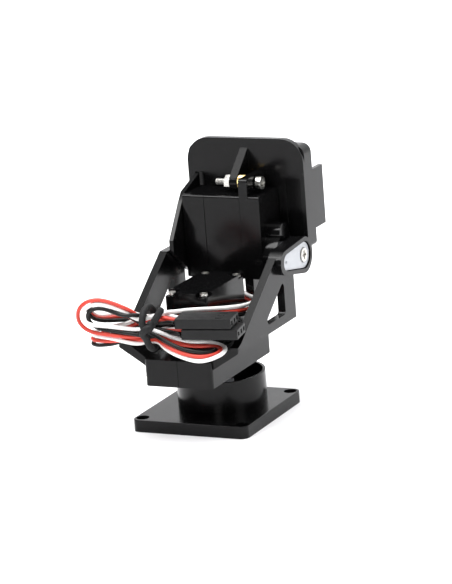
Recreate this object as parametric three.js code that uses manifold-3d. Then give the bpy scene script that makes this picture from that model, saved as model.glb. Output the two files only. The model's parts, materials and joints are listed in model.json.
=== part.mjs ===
// Pan tilt camera mount: two 9 g hobby servos, a two-piece U bracket and a camera plate.
// Millimetres, +Z up. The origin is the centre of the base plate's underside.
// The pan axis is vertical; the tilt axis runs along X between the bracket's arms.
import * as THREE from 'three';
import { mergeVertices } from 'three/addons/utils/BufferGeometryUtils.js';
import Module from 'manifold-3d';

const wasm = await Module();
wasm.setup();

// ---- Driving dimensions ------------------------------------------------------------------

const GAP = 0.3; // running gap between pieces that move past each other
const FIT = 0.1; // clearance between pieces fastened to each other

const base = { width: 33.5, depth: 35.4, thick: 3.3, corner: 2, holeX: 14.5, holeY: 15.2, hole: 1.75 };
const panY = 3.65; // the pan axis stands behind the base's centre
const cup = { outer: 12, inner: 11.3, floor: 7, rim: 11.5 };

// Servo, in its own frame: x along the case from the output axis, z from the bottom cover up.
const servo = {
  back: -5.9,
  front: 16.9,
  half: 6.1,
  wall: 1,
  split: 6.4,
  flangeLow: 17,
  flangeHigh: 19.5,
  top: 22.7,
  flangeReach: 4.7,
  bossTop: 26.7,
  bossRadius: 5.9,
  humpX: 5.8,
  humpRadius: 2.9,
  splineTop: 29.7,
  splineRadius: 2.35,
  screwInset: 1.5,
  postInset: 2.6,
};
const flangeHole = { radius: 1.05, near: -8.4, far: 19.4 };
const gear = { module: 0.4, small: 8, large: 20, addendum: 0.28, dedendum: 0.42 };
const gearSpacing = (gear.module * (gear.small + gear.large)) / 2;
const caseHeight = 37.4; // height of the pan servo's bottom cover, which faces up

// Bracket, measured from the pan axis.
const block = { half: 9.75, near: -24.8, far: 11.75, low: 14.1, high: 21.3, floor: 14.6, corner: 1.2 };
const arm = { inner: 15.1, outer: 17.3, near: -23.5, far: 13.1, foot: 24, bendY: 3.5, top: 42.9 };
const housing = { face: 19, tipY: 5.5, tipZ: 40.6, hubRadius: 4.9, tipRadius: 3.3 };
const tilt = { y: 17.45, z: 39.8, caseX: -13.4 };

// Camera plate, measured from the pan axis.
const plate = { rear: 23.9, front: 25.9, half: 17.25, low: 39.6, high: 69.8, corner: 6.4 };
const tray = { front: 29.5, high: 67.8, wall: 1.2, corner: 2.5 };
const tab = { front: 36, low: 44.2, high: 60.4 };
const cheek = { outer: -14.8, inner: -13.6 };
const bolt = { z: 59.2, ear: 1.1, spacerEnd: 3.6 };

// Leads, measured from the pan axis. Each is a ribbon of three wires; its solid is a round
// tube as thick as two of them. The spare length of both is folded into one hank, which
// has its own frame: u to the right along the hank, v up, w away from its near side.
const lead = { radius: 1.3, sides: 8 };
const hank = { x: -6, y: -25.3, z: 30.2, turn: 0.18, half: 3.2, waist: 4.1 };
const tie = { half: 1.5, thick: 1.3 };
const plug = { length: 15, width: 7.8, height: 2.6, pitch: 2.54 };
const panLeadRoute = [
  [0, 6.55, 33.2], [0, 7.3, 33.1], [1.2, 8.5, 31.4], [3.6, 7.9, 29.5], [6.7, 7.5, 29.3],
  [9.2, 5.4, 29.8], [10.4, 1.6, 30.8], [10.7, -4, 32], [10.8, -10, 33], [10.5, -14.8, 33.5], [8.9, -17.6, 33.6], [5.9, -18.5, 34],
  [2, -18.8, 34.3], [-0.2, -19.6, 34.6], [-0.6, -21.2, 34.7], [-0.75, -22.6, 34.9],
];
const tiltLeadStub = [[-9.2, 17.45, 33.6], [-9.2, 17.45, 32.7]];
const tiltLeadRoute = [
  [-9.2, 15.4, 29.6], [-9.2, 15.2, 28.2], [-9.4, 14.2, 26.3], [-9.9, 12.2, 25.2],
  [-10.3, 9.5, 25], [-10.6, 5, 25],
  [-10.6, -1, 25], [-10.6, -7, 25.2], [-10.6, -13, 25.8], [-10.4, -18, 27.2], [-10.2, -22.3, 28.6],
];

// ---- Finishes ----------------------------------------------------------------------------

const finishes = {
  blackPlastic: { color: 0x151617, roughness: 0.32, metalness: 0 },
  servoPlastic: { color: 0x101112, roughness: 0.28, metalness: 0 },
  whiteNylon: { color: 0xe6eaf2, roughness: 0.42, metalness: 0 },
  nickel: { color: 0xcfd0d2, roughness: 0.25, metalness: 1 },
  brass: { color: 0xd8a93a, roughness: 0.3, metalness: 1 },
  steelCan: { color: 0xa8abae, roughness: 0.35, metalness: 1 },
  board: { color: 0x1f5a38, roughness: 0.5, metalness: 0 },
  wire: { color: 0xb8332a, roughness: 0.45, metalness: 0 },
  plug: { color: 0x2c2d2e, roughness: 0.6, metalness: 0 },
};

// ---- Solids ------------------------------------------------------------------------------

function solid(geometry) {
  geometry.deleteAttribute('normal');
  geometry.deleteAttribute('uv');
  const merged = mergeVertices(geometry, 1e-5);
  const vertProperties = new Float32Array(merged.attributes.position.array);
  const triVerts = new Uint32Array(merged.index.array);
  return new wasm.Manifold(new wasm.Mesh({ numProp: 3, vertProperties, triVerts }));
}

function geometryOf(body) {
  const mesh = body.getMesh();
  const geometry = new THREE.BufferGeometry();
  geometry.setAttribute('position', new THREE.BufferAttribute(mesh.vertProperties, 3));
  geometry.setIndex(new THREE.BufferAttribute(mesh.triVerts, 1));
  geometry.computeVertexNormals();
  return geometry;
}

function join(first, ...others) {
  return others.reduce((sum, other) => sum.add(other), first);
}

function cut(first, ...others) {
  return others.reduce((rest, other) => rest.subtract(other), first);
}

// Outlines are drawn in the two axes that follow the one they are extruded along,
// except that an outline extruded along Y is drawn as x and z.
const X = new THREE.Vector3(1, 0, 0);
const Y = new THREE.Vector3(0, 1, 0);
const Z = new THREE.Vector3(0, 0, 1);
const drawing = {
  x: new THREE.Matrix4().makeBasis(Y, Z, X),
  y: new THREE.Matrix4().makeBasis(X, Z, Y.clone().negate()),
  z: new THREE.Matrix4(),
};

function prism(axis, outline, from, to) {
  const depth = to - from;
  const geometry = new THREE.ExtrudeGeometry(outline, { depth, bevelEnabled: false });
  geometry.translate(0, 0, axis === 'y' ? -to : from);
  geometry.applyMatrix4(drawing[axis]);
  return solid(geometry);
}

function slab(x0, x1, y0, y1, z0, z1) {
  return prism('z', rectangle(x0, x1, y0, y1), z0, z1);
}

function rod(axis, a, b, radius, from, to, sides = 16) {
  return prism(axis, circle(a, b, radius, sides), from, to);
}

function polygon(points) {
  return new THREE.Shape(points.map(([a, b]) => new THREE.Vector2(a, b)));
}

function circle(a, b, radius, sides) {
  const points = [];
  for (let i = 0; i < sides; i += 1) {
    const angle = (2 * Math.PI * i) / sides;
    points.push([a + radius * Math.cos(angle), b + radius * Math.sin(angle)]);
  }
  return polygon(points);
}

function rectangle(a0, a1, b0, b1) {
  return polygon([[a0, b0], [a1, b0], [a1, b1], [a0, b1]]);
}

// Points along an arc, closer together on a larger one.
function arc(a, b, radius, start, end) {
  const quarters = (end - start) / (Math.PI / 2);
  const steps = Math.max(1, Math.ceil(quarters * Math.min(7, 2 + radius)));
  const points = [];
  for (let i = 0; i <= steps; i += 1) {
    const angle = start + ((end - start) * i) / steps;
    points.push([a + radius * Math.cos(angle), b + radius * Math.sin(angle)]);
  }
  return points;
}

function roundedRectangle(a0, a1, b0, b1, lowRadius, highRadius = lowRadius) {
  const quarter = Math.PI / 2;
  return polygon([
    ...arc(a1 - lowRadius, b0 + lowRadius, lowRadius, -quarter, 0),
    ...arc(a1 - highRadius, b1 - highRadius, highRadius, 0, quarter),
    ...arc(a0 + highRadius, b1 - highRadius, highRadius, quarter, 2 * quarter),
    ...arc(a0 + lowRadius, b0 + lowRadius, lowRadius, 2 * quarter, 3 * quarter),
  ]);
}

// Two circles and the tangents that join them.
function teardrop(a1, b1, r1, a2, b2, r2) {
  const heading = Math.atan2(b2 - b1, a2 - a1);
  const lean = Math.acos((r1 - r2) / Math.hypot(a2 - a1, b2 - b1));
  return polygon([
    ...arc(a1, b1, r1, heading + lean, heading - lean + 2 * Math.PI),
    ...arc(a2, b2, r2, heading - lean, heading + lean),
  ]);
}

// A spur gear's outline. Its first tooth points along `phase`.
function gearOutline(teeth, rootRadius, tipRadius, phase) {
  const pitch = (2 * Math.PI) / teeth;
  const points = [];
  for (let i = 0; i < teeth; i += 1) {
    const middle = phase + i * pitch;
    const corners = [[-0.27, rootRadius], [-0.07, tipRadius], [0.07, tipRadius], [0.27, rootRadius]];
    corners.forEach(([turn, radius]) => {
      const angle = middle + turn * pitch;
      points.push([radius * Math.cos(angle), radius * Math.sin(angle)]);
    });
  }
  return polygon(points);
}

// A fine-toothed round outline, with one point on each tooth and one in each gap.
function splineOutline(teeth, rootRadius, tipRadius) {
  const points = [];
  for (let i = 0; i < 2 * teeth; i += 1) {
    const angle = (Math.PI * i) / teeth;
    const radius = i % 2 === 0 ? tipRadius : rootRadius;
    points.push([radius * Math.cos(angle), radius * Math.sin(angle)]);
  }
  return polygon(points);
}

function piece(name, body, finish, x = 0, y = 0, z = 0) {
  const mesh = new THREE.Mesh(geometryOf(body), new THREE.MeshStandardMaterial(finishes[finish]));
  mesh.name = name;
  mesh.position.set(x, y, z);
  return mesh;
}

// ---- Base --------------------------------------------------------------------------------

const horn = { low: 5.5, high: 7, hubTop: 10.4, hub: 3.4, reach: 9.6, tip: 1.6, screwAt: 7.4 };

function doubleArm(clearance, low, high) {
  const right = teardrop(0, 0, horn.hub + clearance, horn.reach, 0, horn.tip + clearance);
  const left = teardrop(0, 0, horn.hub + clearance, -horn.reach, 0, horn.tip + clearance);
  return join(prism('z', right, low, high), prism('z', left, low, high));
}

function basePlate() {
  const foot = prism(
    'z',
    roundedRectangle(-base.width / 2, base.width / 2, -base.depth / 2, base.depth / 2, base.corner),
    0,
    base.thick,
  );
  const turret = rod('z', 0, 0, cup.outer, base.thick - 1, cup.rim, 36).translate([0, panY, 0]);
  const hollow = rod('z', 0, 0, cup.inner, cup.floor, cup.rim + 1, 36);
  const recess = doubleArm(0.2, horn.low - FIT / 2, cup.floor + 1);
  const screwHead = rod('z', 0, 0, 2.6, -1, 3);
  const screwHole = rod('z', 0, 0, 1.1, 2, 6);
  const cups = [hollow, recess, screwHead, screwHole];
  [-1, 1].forEach((side) => cups.push(rod('z', side * horn.screwAt, 0, 0.6, 3, 6, 8)));
  const holes = [];
  [-1, 1].forEach((sx) => {
    [-1, 1].forEach((sy) => holes.push(rod('z', sx * base.holeX, sy * base.holeY, base.hole, -1, 5)));
  });
  return cut(join(foot, turret), ...cups.map((part) => part.translate([0, panY, 0])), ...holes);
}

function panHorn() {
  const body = join(doubleArm(0, horn.low, horn.high), rod('z', 0, 0, horn.hub, horn.low, horn.hubTop, 20));
  const socket = rod('z', 0, 0, servo.splineRadius + FIT, 7.5, 12);
  const holes = [rod('z', 0, 0, 1, 5, 8, 16)];
  [-1, 1].forEach((side) => {
    [5.2, horn.screwAt, 9.6].forEach((at) => holes.push(rod('z', side * at, 0, 0.6, 5, 8, 8)));
  });
  return cut(body, socket, ...holes);
}

// A screw standing on its tip along +Z: shank from `tip` to `seat`, head from there to `top`.
function screw(tip, seat, top, shank, head, slot = 0.35) {
  const body = join(rod('z', 0, 0, shank, tip, seat + 0.1, 8), rod('z', 0, 0, head, seat, top, 14));
  const blade = 0.18 * head;
  const arm1 = slab(-0.6 * head, 0.6 * head, -blade, blade, top - slot, top + 1);
  const arm2 = slab(-blade, blade, -0.6 * head, 0.6 * head, top - slot, top + 1);
  return cut(body, arm1, arm2);
}

function baseGroup() {
  const group = new THREE.Group();
  group.add(piece('base_plate', basePlate(), 'blackPlastic'));
  group.add(piece('pan_horn', panHorn(), 'whiteNylon', 0, panY, 0));
  [['near', -1], ['far', 1]].forEach(([label, side]) => {
    const fixing = screw(3.2, horn.high + 0.05, horn.high + 0.85, 0.5, 1.2);
    group.add(piece(`pan_horn_screw_${label}`, fixing, 'nickel', side * horn.screwAt, panY, 0));
  });
  const centre = piece('pan_centre_screw', screw(-10.5, -2.95, -1.7, 0.7, 2.1), 'nickel', 0, panY, 0);
  centre.rotation.x = Math.PI;
  group.add(centre);
  return group;
}

// ---- Servo -------------------------------------------------------------------------------

function servoScrewPlaces() {
  const x0 = servo.back + servo.screwInset;
  const x1 = servo.front - servo.screwInset;
  const y = servo.half - servo.screwInset;
  return [[x0, -y], [x1, -y], [x1, y], [x0, y]];
}

// The case's hollow: a rectangle that leaves a post for a screw in each corner.
function caseHollow(low, high) {
  const x0 = servo.back + servo.wall;
  const x1 = servo.front - servo.wall;
  const y = servo.half - servo.wall;
  const step = servo.postInset - servo.wall;
  const long = slab(x0, x1, -y + step, y - step, low, high);
  const wide = slab(x0 + step, x1 - step, -y, y, low, high);
  return join(long, wide);
}

function caseBlock(low, high) {
  return prism(
    'z',
    roundedRectangle(servo.back, servo.front, -servo.half, servo.half, 0.6),
    low,
    high,
  );
}

function cornerHoles(radius, low, high) {
  return servoScrewPlaces().map(([x, y]) => rod('z', x, y, radius, low, high, 8));
}

function bottomCover() {
  const slot = slab(servo.back - 1, servo.back + 2, -2.2, 2.2, 3.2, 5.2);
  return cut(
    caseBlock(0, servo.split - FIT / 2),
    caseHollow(1.2, servo.split + 1),
    slot,
    ...cornerHoles(1.3, -1, 1),
    ...cornerHoles(0.7, 0, servo.split + 1),
  );
}

function middleCase() {
  const top = servo.flangeLow - FIT / 2;
  return cut(
    caseBlock(servo.split + FIT / 2, top),
    caseHollow(servo.split - 1, top - 1.2),
    ...cornerHoles(0.7, servo.split - 1, top + 1),
    rod('z', 0, 0, 1, 10, 20, 16),
    rod('z', gearSpacing, 0, 0.55, 10, 20, 12),
    rod('z', 2 * gearSpacing, 0, 1.4, 10, 20, 16),
  );
}

function gearCover() {
  const flange = prism(
    'z',
    roundedRectangle(
      servo.back - servo.flangeReach,
      servo.front + servo.flangeReach,
      -servo.half,
      servo.half,
      0.8,
    ),
    servo.flangeLow,
    servo.flangeHigh,
  );
  const boss = rod('z', 0, 0, servo.bossRadius, servo.top - 1, servo.bossTop, 24);
  const hump = rod('z', servo.humpX, 0, servo.humpRadius, servo.top - 1, servo.bossTop, 16);
  return cut(
    join(caseBlock(servo.flangeLow, servo.top), flange, boss, hump),
    caseHollow(servo.flangeLow - 1, servo.top - servo.wall),
    rod('z', 0, 0, 4.8, servo.top - 3, 25.6, 16),
    rod('z', servo.humpX, 0, 2.3, servo.top - 3, 24, 12),
    rod('z', 0, 0, 2.5, 25, 28, 16),
    rod('z', gearSpacing, 0, 0.55, 23, 25.5, 12),
    ...cornerHoles(0.6, servo.flangeLow - 1, 21.2),
    ...[flangeHole.near, flangeHole.far].map((x) => rod('z', x, 0, flangeHole.radius, 16, 21, 12)),
  );
}

function motorCan() {
  const body = join(rod('z', 0, 0, 3.8, 1.8, 14.6, 20), rod('z', 0, 0, 1.2, 14, 15.4, 16));
  return cut(body, rod('z', 0, 0, 0.75, 8, 17, 12));
}

const pitchRadius = (teeth) => (gear.module * teeth) / 2;

function gearWheel(teeth, phase, low, high) {
  const pitch = pitchRadius(teeth);
  return prism('z', gearOutline(teeth, pitch - gear.dedendum, pitch + gear.addendum, phase), low, high);
}

const halfPitch = Math.PI / gear.large;

function pinion() {
  const shaft = rod('z', 0, 0, 0.5, 9, 17.4, 8);
  return join(shaft, gearWheel(gear.small, Math.PI, 17.3, 18.8));
}

// A large wheel with a small one above it, turning on a pin or a shaft through its bore.
function compoundGear(low, largeFaces, smallFaces) {
  const large = gearWheel(gear.large, largeFaces + halfPitch, low, low + 1);
  const small = gearWheel(gear.small, smallFaces, low + 0.9, low + 2.6);
  return cut(join(large, small), rod('z', 0, 0, 0.75, low - 1, low + 4, 8));
}

function outputGear() {
  return cut(
    join(
      rod('z', 0, 0, 0.6, 10.6, 22, 8),
      gearWheel(gear.large, halfPitch, 21.95, 23.3),
      rod('z', 0, 0, 2.1, 23.2, servo.bossTop + 0.1, 14),
      prism('z', splineOutline(15, 2.1, servo.splineRadius), servo.bossTop, servo.splineTop),
    ),
    rod('z', 0, 0, 0.85, 25, servo.splineTop + 1, 8),
  );
}

function potentiometer() {
  const body = join(rod('z', 0, 0, 4.1, 9.8, 12.6, 18), rod('z', 0, 0, 1.8, 12.5, 14.2, 16));
  return cut(body, rod('z', 0, 0, 0.8, 10.2, 15, 12));
}

// Pieces of one servo in its own frame. The output gear is returned apart from the rest,
// because it turns with whatever the servo's horn is fixed to.
function servoPieces(label) {
  const middle = 2 * gearSpacing;
  const inside = [
    piece(`${label}_servo_bottom_cover`, bottomCover(), 'servoPlastic'),
    piece(`${label}_servo_middle_case`, middleCase(), 'servoPlastic'),
    piece(`${label}_servo_gear_cover`, gearCover(), 'servoPlastic'),
    piece(`${label}_servo_motor`, motorCan(), 'steelCan', middle, 0, 0),
    piece(`${label}_servo_potentiometer`, potentiometer(), 'servoPlastic'),
    piece(`${label}_servo_circuit_board`, slab(-4.5, 6.6, -3, 3, 5.4, 6.6), 'board'),
    piece(`${label}_servo_gear_pin`, rod('z', 0, 0, 0.5, 15.9, 25.2, 8), 'steelCan', gearSpacing, 0, 0),
    piece(`${label}_servo_pinion`, pinion(), 'brass', middle, 0, 0),
    piece(`${label}_servo_gear_1`, compoundGear(17.5, 0, Math.PI), 'whiteNylon', gearSpacing, 0, 0),
    piece(`${label}_servo_gear_2`, compoundGear(19, 0, 0), 'whiteNylon'),
    piece(`${label}_servo_gear_3`, compoundGear(20.5, Math.PI, Math.PI), 'whiteNylon', gearSpacing, 0, 0),
  ];
  servoScrewPlaces().forEach(([x, y], index) => {
    const name = `${label}_servo_case_screw_${index + 1}`;
    const fixing = piece(name, screw(-20.6, -0.95, -0.1, 0.5, 1.1), 'nickel');
    fixing.rotation.x = Math.PI;
    fixing.position.set(x, y, 0);
    inside.push(fixing);
  });
  const output = piece(`${label}_servo_output_gear`, outputGear(), 'whiteNylon');
  return { inside, output };
}

// A servo standing at `origin` with its case along `caseAxis` and its shaft along `shaftAxis`.
function servoFrame(origin, caseAxis, shaftAxis) {
  const group = new THREE.Group();
  const side = new THREE.Vector3().crossVectors(shaftAxis, caseAxis);
  group.applyMatrix4(new THREE.Matrix4().makeBasis(caseAxis, side, shaftAxis));
  group.position.copy(origin);
  return group;
}

// ---- Bracket -----------------------------------------------------------------------------

function armOutline() {
  return polygon([
    [arm.near, arm.foot],
    [arm.far, arm.foot],
    [arm.far, arm.top],
    [arm.bendY, arm.top],
    [-21.2, 26],
    [arm.near, 25.2],
  ]);
}

function windowOutline() {
  return polygon([
    ...arc(5.6, 27.3, 1, -0.5 * Math.PI, 0),
    ...arc(5.6, 33.8, 1, 0, 0.7 * Math.PI),
    ...arc(-3.8, 27.3, 1, 0.7 * Math.PI, 1.5 * Math.PI),
  ]);
}

function footOutline() {
  return polygon([
    [8.5, 19],
    [9.6, 19],
    [arm.outer, 23.8],
    [arm.outer, 25.4],
    [arm.inner, 25.4],
    [9.4, block.high],
    [8.5, block.high],
  ]);
}

const bracketScrews = [['near', -22.9, 16.4], ['far', 8.9, 16.2]];

// The right half; the left one is its mirror image, with a plain pivot hole.
function bracketHalf(isRight) {
  const hub = isRight ? 3.5 : 1.6;
  const seam = 0.05;
  const blockOutline = roundedRectangle(-block.half, block.half, block.near, block.far, block.corner);
  const shell = join(
    prism('z', blockOutline, block.low, block.high),
    prism('y', footOutline(), arm.near, arm.far),
    prism('x', armOutline(), arm.inner, arm.outer),
    rod('x', tilt.y, tilt.z, housing.hubRadius, arm.inner, arm.outer, 36),
  );
  const side = slab(seam, 30, -40, 40, 0, 60);
  const halfShell = shell.intersect(side);
  const clear = 0.2;
  const pocket = slab(
    -servo.half - clear, servo.half + clear, -servo.front - clear, -servo.back + clear, block.floor, 30,
  );
  const flangeSlot = slab(
    -servo.half - clear,
    servo.half + clear,
    -servo.front - servo.flangeReach - clear,
    -servo.back + servo.flangeReach + clear,
    caseHeight - servo.flangeHigh - clear,
    caseHeight - servo.flangeLow + clear,
  );
  const bossHole = rod('z', 0, 0, servo.bossRadius + clear, 10, 20, 28);
  const humpHole = rod('z', 0, -servo.humpX, servo.humpRadius + clear, 10, 20, 24);
  const openings = [pocket, flangeSlot, bossHole, humpHole];
  openings.push(prism('x', windowOutline(), arm.inner - 1, arm.outer + 1));
  openings.push(rod('x', tilt.y, tilt.z, hub, arm.inner - 1, arm.outer + 1, 24));
  bracketScrews.forEach(([, y, z]) => {
    openings.push(rod('x', y, z, 0.75, -1, isRight ? 7 : 12, 12));
    if (!isRight) openings.push(rod('x', y, z, 1.7, block.half - 1.3, block.half + 1, 16));
  });
  return cut(isRight ? join(halfShell, hornHousing()) : halfShell, ...openings, ...hornRecess(isRight));
}

function hornHousing() {
  const outline = teardrop(
    tilt.y, tilt.z, housing.hubRadius, housing.tipY, housing.tipZ, housing.tipRadius,
  );
  return prism('x', outline, arm.inner, housing.face);
}

function hornRecess(isRight) {
  if (!isRight) return [];
  const outline = teardrop(tilt.y, tilt.z, 3.7, 6.4, 40.5, 2.3);
  return [prism('x', outline, 17, housing.face + 1), rod('x', tilt.y, tilt.z, 3.5, 14, 20, 24)];
}

function tiltHorn() {
  const blade = prism('x', teardrop(tilt.y, tilt.z, 3.5, 6.4, 40.5, 2.1), 17.05, 18.5);
  const collar = rod('x', tilt.y, tilt.z, 3.3, 13.6, 17.2, 24);
  return cut(
    join(blade, collar),
    rod('x', tilt.y, tilt.z, servo.splineRadius + FIT, 13, 16.5),
    rod('x', tilt.y, tilt.z, 1, 16, 19, 16),
    rod('x', tilt.y, tilt.z, 2.1, 17.9, 19, 20),
    rod('x', 6.5, 40.5, 0.45, 16, 19, 10),
  );
}

// A screw whose axis lies along X, with its head towards +X or -X.
function crossScrew(name, body, finish, y, z, headSide) {
  const mesh = piece(name, body, finish, 0, y, z);
  mesh.rotation.y = (headSide * Math.PI) / 2;
  return mesh;
}

function bracketGroup() {
  const group = new THREE.Group();
  group.add(piece('bracket_right', bracketHalf(true), 'blackPlastic'));
  const left = bracketHalf(false).mirror([1, 0, 0]);
  group.add(piece('bracket_left', left, 'blackPlastic'));
  bracketScrews.forEach(([label, y, z]) => {
    const fixing = screw(-6.5, block.half - 1.25, block.half - 0.2, 0.65, 1.5);
    group.add(crossScrew(`bracket_screw_${label}`, fixing, 'nickel', y, z, -1));
  });
  group.add(piece('tilt_horn', tiltHorn(), 'whiteNylon'));
  const hornScrew = screw(12.2, 17.95, 18.8, 0.7, 1.9);
  group.add(crossScrew('tilt_horn_screw', hornScrew, 'nickel', tilt.y, tilt.z, 1));
  const pivot = screw(13.65, arm.outer + 0.05, arm.outer + 1.2, 1.4, 2.3);
  group.add(crossScrew('tilt_pivot_screw', pivot, 'nickel', tilt.y, tilt.z, -1));
  return group;
}

// ---- Camera plate ------------------------------------------------------------------------

function cameraTray() {
  const outer = roundedRectangle(-plate.half, plate.half, plate.low, tray.high, 1.2, tray.corner);
  const inner = roundedRectangle(
    -plate.half + tray.wall,
    plate.half - tray.wall,
    plate.low + tray.wall,
    tray.high - tray.wall,
    0.4,
    tray.corner - tray.wall,
  );
  return cut(prism('y', outer, plate.rear + 1, tray.front), prism('y', inner, plate.rear, tray.front + 1));
}

function sideTab(side) {
  const x0 = side < 0 ? -plate.half : plate.half - tray.wall;
  return slab(x0, x0 + tray.wall, tray.front - 1, tab.front, tab.low, tab.high);
}

function plateEar() {
  const web = polygon([
    [plate.rear + 0.5, 67.2],
    [plate.rear, 67.2],
    [15.9, 60.6],
    [15.9, 57.8],
    [tilt.y, 57.2],
    [plate.rear + 0.5, 57.2],
  ]);
  return join(prism('x', web, -bolt.ear, bolt.ear), rod('x', tilt.y, bolt.z, 2, -bolt.ear, bolt.ear, 20));
}

function plateCheek() {
  const outline = polygon([
    [plate.rear + 0.5, 60.5],
    [13.6, 57],
    [11.2, 54.3],
    [4.6, 45.6],
    [4.6, 42.4],
    [13, 35.4],
    [17.5, 34.4],
    [21.6, 36],
    [plate.rear + 0.5, 40.5],
  ]);
  return cut(
    prism('x', outline, cheek.outer, cheek.inner),
    rod('x', tilt.y, tilt.z, 1.6, -20, 0, 20),
  );
}

function cameraPlate() {
  const panel = roundedRectangle(-plate.half, plate.half, plate.low, plate.high, 1.2, plate.corner);
  const pad = slab(-9.5, -1.3, plate.rear - 1.3, plate.rear + 0.5, 57, 58.7);
  const body = join(
    prism('y', panel, plate.rear, plate.front),
    cameraTray(),
    sideTab(-1),
    sideTab(1),
    plateEar(),
    plateCheek(),
    pad,
  );
  return cut(
    body,
    rod('x', tilt.y, bolt.z, 1.05, -3, 3, 16),
    slab(-15.2, -12.4, plate.rear - 1, plate.rear + 1.2, 55, 60.2),
    slab(11.6, 16, plate.rear - 1, plate.rear + 0.7, 42, 59),
  );
}

function hexagon(flats) {
  return circle(0, 0, flats / Math.sqrt(3), 6);
}

function plateGroup() {
  const group = new THREE.Group();
  group.add(piece('camera_plate', cameraPlate(), 'blackPlastic'));
  const shank = screw(-5.6, bolt.spacerEnd + 2.8, bolt.spacerEnd + 4.4, 0.9, 1.75, 0.6);
  group.add(crossScrew('plate_bolt', shank, 'nickel', tilt.y, bolt.z, 1));
  const nut = cut(prism('z', hexagon(3.4), -1.6, 0), rod('z', 0, 0, 1, -3, 3, 16));
  group.add(crossScrew('plate_nut', nut, 'nickel', tilt.y, bolt.z, 1));
  group.children[2].position.x = -bolt.ear - FIT / 2;
  const knurl = splineOutline(24, 1.8, 1.95);
  const length = bolt.spacerEnd - bolt.ear - FIT;
  const spacer = cut(prism('z', knurl, 0, length), rod('z', 0, 0, 1.05, -1, 5, 16));
  const sleeve = crossScrew('plate_spacer', spacer, 'brass', tilt.y, bolt.z, 1);
  sleeve.position.x = bolt.ear + FIT / 2;
  group.add(sleeve);
  return group;
}

// ---- Leads -------------------------------------------------------------------------------

function tube(points) {
  const curve = new THREE.CatmullRomCurve3(points.map((point) => new THREE.Vector3(...point)));
  const steps = Math.max(2, Math.round(curve.getLength() / (4 * lead.radius)));
  const section = circle(0, 0, lead.radius, lead.sides);
  return solid(new THREE.ExtrudeGeometry(section, { steps, extrudePath: curve, bevelEnabled: false }));
}

// The hank narrows at its tie, stands tall at its left loops and lies low under the plugs.
function hankOutline() {
  return polygon([
    [-hank.waist, -hank.waist],
    [hank.waist, -hank.waist],
    [8, -8],
    [14, -8.4],
    ...arc(18.6, -4.6, 1.3, -Math.PI / 3, Math.PI / 2),
    [8.9, -3.3],
    [8.9, -0.1],
    [7.3, 0.8],
    [7.3, 2.6],
    [4, 2.6],
    [4, 6],
    [2.2, 6],
    [2.2, hank.waist],
    [-hank.waist, hank.waist],
    ...arc(-17, 3.3, 4, Math.PI / 2, Math.PI),
    ...arc(-18, -3.2, 3.4, Math.PI, 1.5 * Math.PI),
  ]);
}

function twistTie() {
  const wide = hank.half + GAP + tie.thick;
  const tall = hank.waist + GAP + tie.thick;
  const outer = prism('y', roundedRectangle(-wide, wide, -tall, tall, 1.6), -tie.half, tie.half);
  const inner = prism(
    'y',
    rectangle(-wide + tie.thick, wide - tie.thick, -tall + tie.thick, tall - tie.thick),
    -tie.half - 1,
    tie.half + 1,
  );
  const ring = cut(outer, inner).rotate([0, 0, 90]);
  const tail = rod('z', 0, 0, 1.4, 0, 6, 12).rotate([0, 50, 0]).translate([1, -wide - 0.2, tall - 2.4]);
  return join(ring, tail);
}

// A three-way socket housing, with its sockets at the +X end.
function plugBody() {
  const half = plug.width / 2;
  const body = slab(0, plug.length, -half, half, 0, plug.height);
  const cuts = [];
  [-1, 0, 1].forEach((place) => {
    const y = place * plug.pitch;
    const latchFrom = plug.length - 4.4;
    const latchTo = plug.length - 2.6;
    cuts.push(slab(plug.length - 6, plug.length + 1, y - 0.5, y + 0.5, 0.8, 1.8));
    cuts.push(slab(latchFrom, latchTo, y - 0.45, y + 0.45, plug.height - 0.5, plug.height + 1));
  });
  return cut(body, ...cuts);
}

function leadGroup() {
  const group = new THREE.Group();
  group.add(piece('pan_lead', tube(panLeadRoute), 'wire'));
  group.add(piece('tilt_lead_exit', tube(tiltLeadStub), 'wire'));
  group.add(piece('tilt_lead', tube(tiltLeadRoute), 'wire'));
  const bundle = new THREE.Group();
  bundle.position.set(hank.x, hank.y, hank.z);
  bundle.rotation.z = hank.turn;
  bundle.add(piece('lead_hank', prism('y', hankOutline(), -hank.half, hank.half), 'wire'));
  bundle.add(piece('lead_tie', twistTie(), 'plug'));
  bundle.add(piece('pan_plug', plugBody(), 'plug', 7.6, -1.1, 1));
  bundle.add(piece('tilt_plug', plugBody(), 'plug', 9.2, -1.1, -1.9));
  group.add(bundle);
  return group;
}

// ---- Assembly ----------------------------------------------------------------------------

const mount = new THREE.Group();
mount.add(baseGroup());

const head = new THREE.Group();
head.position.y = panY;
head.add(bracketGroup());
head.add(plateGroup());
head.add(leadGroup());

const pan = servoPieces('pan');
const panServo = servoFrame(new THREE.Vector3(0, 0, caseHeight), Y.clone().negate(), Z.clone().negate());
panServo.add(...pan.inside, pan.output);
head.add(panServo);

const tiltParts = servoPieces('tilt');
const tiltServo = servoFrame(new THREE.Vector3(tilt.caseX, tilt.y, tilt.z), Z, X);
tiltServo.add(...tiltParts.inside, tiltParts.output);
head.add(tiltServo);

mount.add(head);

export default mount;
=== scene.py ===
import json
import math
import bmesh
import bpy
import numpy as np
from mathutils import Matrix, Vector

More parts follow.
